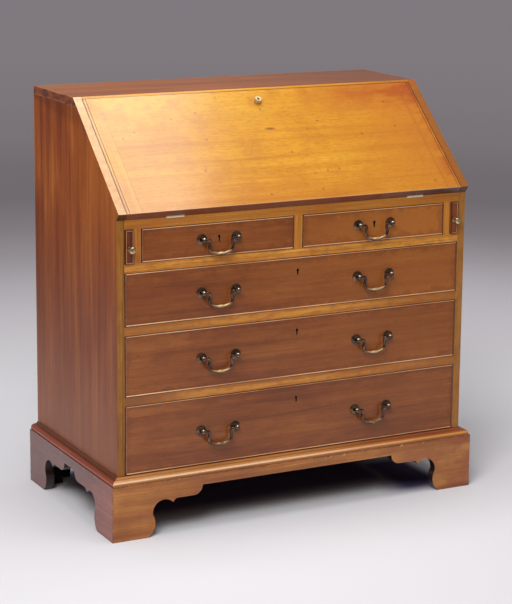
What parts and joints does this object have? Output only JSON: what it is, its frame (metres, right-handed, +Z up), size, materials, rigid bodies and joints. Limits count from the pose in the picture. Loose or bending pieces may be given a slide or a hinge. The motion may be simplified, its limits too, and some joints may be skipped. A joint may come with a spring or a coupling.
{
  "type": "slant-front bureau",
  "caption": "Slant-front writing bureau on bracket feet: short and long drawers with swan-neck handles under a sloping fall that opens onto sliding lopers as a desk.",
  "frame": {"origin": "on the floor, at the middle of the overall box in plan", "axes": "+Z up, +X to the right seen from the front, +Y towards the back"},
  "size_m": [0.984, 0.5294, 1.0079],
  "materials": {
    "carcass_wood": "worn waxed mahogany, satin",
    "fall_wood": "golden polished mahogany, gloss",
    "drawer_front_wood": "reddish polished mahogany, satin",
    "cock_bead_wood": "polished bead, satin",
    "rail_wood": "golden polished mahogany, satin",
    "base_wood": "polished mahogany, satin",
    "rack_wood": "plain mahogany, satin",
    "lining_oak": "bare oak, dry",
    "back_pine": "bare stained pine, dry",
    "handle_brass": "darkened cast brass with rubbed highlights",
    "bright_brass": "worn brass, semi-gloss",
    "lock_iron": "dark iron"
  },
  "bodies": {
    "carcass": {"left_side": "carcass_wood", "right_side": "carcass_wood", "top_board": "carcass_wood", "back_boards": "back_pine", "carcass_bottom": "back_pine", "drawer_dividers": "rail_wood", "writing_bed": "rail_wood", "bed_hinge_leaves": "bright_brass", "hinge_pins": "bright_brass", "bay_partitions": "rail_wood", "drawer_runners": "lining_oak", "dustboards": "lining_oak", "pigeonholes": "rack_wood", "base_moulding": "base_wood", "plinth_front": "base_wood", "plinth_sides": "base_wood", "foot_blocks": "back_pine", "drawer_stops": "lining_oak"},
    "fall": {"fall_panel": "fall_wood", "fall_clamps": "fall_wood", "fall_hinge_leaves": "bright_brass", "fall_lock": "lock_iron", "fall_lock_barrel": "bright_brass"},
    "left_bearer": {"left_loper": "rail_wood", "left_loper_knob": "bright_brass"},
    "right_bearer": {"right_loper": "rail_wood", "right_loper_knob": "bright_brass"},
    "top_left_drawer": {"top_left_drawer_front": "drawer_front_wood", "top_left_drawer_cock_bead": "cock_bead_wood", "top_left_drawer_lining": "lining_oak", "top_left_drawer_lock": "lock_iron", "top_left_drawer_handle_posts": "handle_brass"},
    "top_left_drawer_handle": {"top_left_drawer_bail": "handle_brass"},
    "top_right_drawer": {"top_right_drawer_front": "drawer_front_wood", "top_right_drawer_cock_bead": "cock_bead_wood", "top_right_drawer_lining": "lining_oak", "top_right_drawer_lock": "lock_iron", "top_right_drawer_handle_posts": "handle_brass"},
    "top_right_drawer_handle": {"top_right_drawer_bail": "handle_brass"},
    "upper_drawer": {"upper_drawer_front": "drawer_front_wood", "upper_drawer_cock_bead": "cock_bead_wood", "upper_drawer_lining": "lining_oak", "upper_drawer_lock": "lock_iron", "upper_drawer_handle_posts": "handle_brass"},
    "upper_drawer_left_handle": {"upper_drawer_left_bail": "handle_brass"},
    "upper_drawer_right_handle": {"upper_drawer_right_bail": "handle_brass"},
    "middle_drawer": {"middle_drawer_front": "drawer_front_wood", "middle_drawer_cock_bead": "cock_bead_wood", "middle_drawer_lining": "lining_oak", "middle_drawer_lock": "lock_iron", "middle_drawer_handle_posts": "handle_brass"},
    "middle_drawer_left_handle": {"middle_drawer_left_bail": "handle_brass"},
    "middle_drawer_right_handle": {"middle_drawer_right_bail": "handle_brass"},
    "lower_drawer": {"lower_drawer_front": "drawer_front_wood", "lower_drawer_cock_bead": "cock_bead_wood", "lower_drawer_lining": "lining_oak", "lower_drawer_lock": "lock_iron", "lower_drawer_handle_posts": "handle_brass"},
    "lower_drawer_left_handle": {"lower_drawer_left_bail": "handle_brass"},
    "lower_drawer_right_handle": {"lower_drawer_right_bail": "handle_brass"}
  },
  "joints": [
    {"name": "fall_hinge", "type": "hinge", "parent": "carcass", "child": "fall", "pos_m": [0, -0.2405, 0.7553], "axis": [1, 0, 0], "range_deg": [0, 138.36]},
    {"name": "left_loper_slide", "type": "slide", "parent": "carcass", "child": "left_bearer", "axis": [0, -1, 0], "range_m": [0, 0.24]},
    {"name": "right_loper_slide", "type": "slide", "parent": "carcass", "child": "right_bearer", "axis": [0, -1, 0], "range_m": [0, 0.24]},
    {"name": "top_left_drawer_slide", "type": "slide", "parent": "carcass", "child": "top_left_drawer", "axis": [0, -1, 0], "range_m": [0, 0.35]},
    {"name": "top_left_drawer_bail_swing", "type": "hinge", "parent": "top_left_drawer", "child": "top_left_drawer_handle", "pos_m": [-0.2095, -0.2525, 0.6954], "axis": [-1, 0, 0], "range_deg": [0, 120]},
    {"name": "top_right_drawer_slide", "type": "slide", "parent": "carcass", "child": "top_right_drawer", "axis": [0, -1, 0], "range_m": [0, 0.35]},
    {"name": "top_right_drawer_bail_swing", "type": "hinge", "parent": "top_right_drawer", "child": "top_right_drawer_handle", "pos_m": [0.2095, -0.2525, 0.6954], "axis": [-1, 0, 0], "range_deg": [0, 120]},
    {"name": "upper_drawer_slide", "type": "slide", "parent": "carcass", "child": "upper_drawer", "axis": [0, -1, 0], "range_m": [0, 0.35]},
    {"name": "upper_drawer_left_bail_swing", "type": "hinge", "parent": "upper_drawer", "child": "upper_drawer_left_handle", "pos_m": [-0.2095, -0.2525, 0.569], "axis": [-1, 0, 0], "range_deg": [0, 120]},
    {"name": "upper_drawer_right_bail_swing", "type": "hinge", "parent": "upper_drawer", "child": "upper_drawer_right_handle", "pos_m": [0.2095, -0.2525, 0.569], "axis": [-1, 0, 0], "range_deg": [0, 120]},
    {"name": "middle_drawer_slide", "type": "slide", "parent": "carcass", "child": "middle_drawer", "axis": [0, -1, 0], "range_m": [0, 0.35]},
    {"name": "middle_drawer_left_bail_swing", "type": "hinge", "parent": "middle_drawer", "child": "middle_drawer_left_handle", "pos_m": [-0.2095, -0.2525, 0.412], "axis": [-1, 0, 0], "range_deg": [0, 120]},
    {"name": "middle_drawer_right_bail_swing", "type": "hinge", "parent": "middle_drawer", "child": "middle_drawer_right_handle", "pos_m": [0.2095, -0.2525, 0.412], "axis": [-1, 0, 0], "range_deg": [0, 120]},
    {"name": "lower_drawer_slide", "type": "slide", "parent": "carcass", "child": "lower_drawer", "axis": [0, -1, 0], "range_m": [0, 0.35]},
    {"name": "lower_drawer_left_bail_swing", "type": "hinge", "parent": "lower_drawer", "child": "lower_drawer_left_handle", "pos_m": [-0.2095, -0.2525, 0.235], "axis": [-1, 0, 0], "range_deg": [0, 120]},
    {"name": "lower_drawer_right_bail_swing", "type": "hinge", "parent": "lower_drawer", "child": "lower_drawer_right_handle", "pos_m": [0.2095, -0.2525, 0.235], "axis": [-1, 0, 0], "range_deg": [0, 120]}
  ]
}
